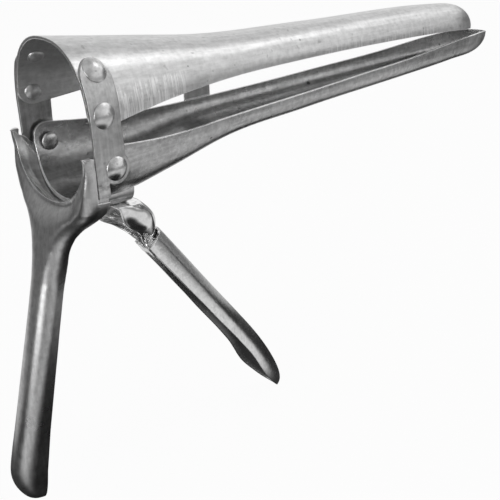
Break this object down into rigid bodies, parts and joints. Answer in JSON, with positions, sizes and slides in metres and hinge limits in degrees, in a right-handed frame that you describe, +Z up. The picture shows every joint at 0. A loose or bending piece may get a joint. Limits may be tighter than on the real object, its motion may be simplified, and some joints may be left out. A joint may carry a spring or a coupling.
{
  "type": "bivalve speculum",
  "caption": "Two-blade speculum: riveted upper blade on a forked handle, hinged lower blade opened by a squeeze lever",
  "frame": {"origin": "centre of the mouth, in the plane of the upper blade's rear edge and on the middle plane", "axes": "+X along the blades to their tips, +Z up toward the upper blade's crown, +Y to the far side of the picture"},
  "size_m": [0.4381, 0.0772, 0.2751],
  "materials": {
    "valves": "satin",
    "straps": "satin",
    "rivets": "polished",
    "handle": "polished",
    "bracket": "polished"
  },
  "bodies": {
    "frame": {"upper_valve": "valves", "yoke_handle": "handle", "strap_near": "straps", "strap_far": "straps", "rivet_upper_near": "rivets", "rivet_upper_far": "rivets", "rivet_middle_near": "rivets", "rivet_middle_far": "rivets", "hinge_rivet_near": "rivets", "hinge_rivet_far": "rivets", "hinge_spacer_near": "rivets", "hinge_spacer_far": "rivets"},
    "lower": {"lower_valve": "valves", "guide_tab": "valves", "saddle_pad": "bracket", "saddle_bracket": "bracket", "neck_braze": "bracket", "squeeze_lever": "handle"}
  },
  "joints": [
    {"name": "valve_hinge", "type": "hinge", "parent": "frame", "child": "lower", "pos_m": [0.0119, 0, -0.019], "axis": [0, 1, 0], "range_deg": [0, 28]}
  ]
}
